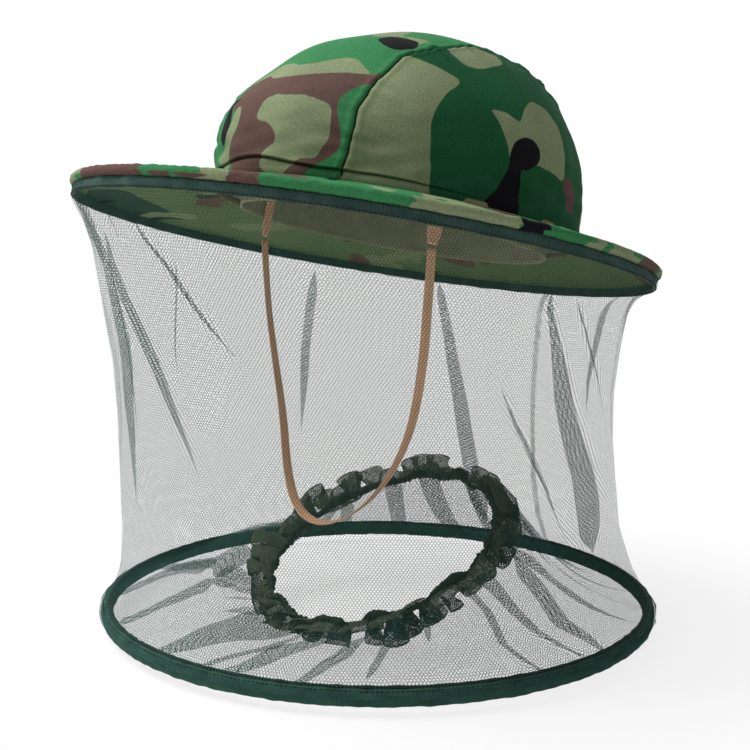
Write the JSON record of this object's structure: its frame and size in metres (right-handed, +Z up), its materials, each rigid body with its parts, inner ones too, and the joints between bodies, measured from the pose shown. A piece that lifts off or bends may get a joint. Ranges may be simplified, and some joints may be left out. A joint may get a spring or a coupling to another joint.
{
  "type": "beekeeping veil",
  "caption": "Domed cloth hat with a stiff round brim carrying a net veil to a lower wire hoop, a net skirt with an elastic neck collar, and a chin strap.",
  "frame": {"origin": "middle of the head opening, in the plane where the crown meets the brim", "axes": "+Z up with the lower hoop level, -Y the way the wearer faces, +X towards the wearer's left ear; the hat is tilted back about X"},
  "size_m": [0.3509, 0.3532, 0.3517],
  "materials": {
    "camouflage_cloth": "matte",
    "lining_cloth": "matte",
    "interlining": "matte",
    "seam_tape": "matte",
    "spring_steel": "satin",
    "crimp_steel": "satin",
    "green_binding": "matte",
    "green_net": "matte",
    "collar_elastic": "matte",
    "strap_elastic": "matte"
  },
  "bodies": {
    "hat": {"crown_panel_centre": "camouflage_cloth", "crown_panel_left": "camouflage_cloth", "crown_panel_right": "camouflage_cloth", "crown_seam_tape_left": "seam_tape", "crown_seam_tape_right": "seam_tape", "crown_lining": "lining_cloth", "crown_base_tape": "lining_cloth", "headband": "lining_cloth", "headband_gusset": "lining_cloth", "brim_top": "camouflage_cloth", "brim_interlining": "interlining", "brim_underside": "camouflage_cloth", "brim_wire": "spring_steel", "brim_wire_ferrule": "crimp_steel", "brim_edge_roll": "camouflage_cloth", "brim_binding": "green_binding", "strap_tab_left": "strap_elastic", "strap_tab_right": "strap_elastic", "veil_net": "green_net", "veil_seam": "green_net"},
    "lower_hoop": {"hoop_steel": "spring_steel", "hoop_ferrule": "crimp_steel", "hoop_binding": "green_binding", "hoop_seam_tape": "green_binding", "skirt_net": "green_net"},
    "collar": {"collar_casing": "green_binding", "collar_elastic": "collar_elastic", "collar_elastic_join": "collar_elastic", "collar_frill": "green_binding"},
    "chin_strap": {"chin_strap": "strap_elastic"}
  },
  "joints": [
    {"name": "veil_lift", "type": "slide", "parent": "hat", "child": "lower_hoop", "axis": [0, 0, 1], "range_m": [0, 0.17], "deforming": ["veil_net", "veil_seam", "skirt_net", "chin_strap", "collar_frill"]},
    {"name": "collar_slide", "type": "slide", "parent": "lower_hoop", "child": "collar", "axis": [0, 0, 1], "range_m": [-0.09, 0.02], "deforming": ["skirt_net", "collar_frill"]},
    {"name": "chin_strap_swing", "type": "hinge", "parent": "hat", "child": "chin_strap", "pos_m": [0, -0.04482, -0.01386], "axis": [1, 0, 0], "range_deg": [-35, 20]}
  ]
}
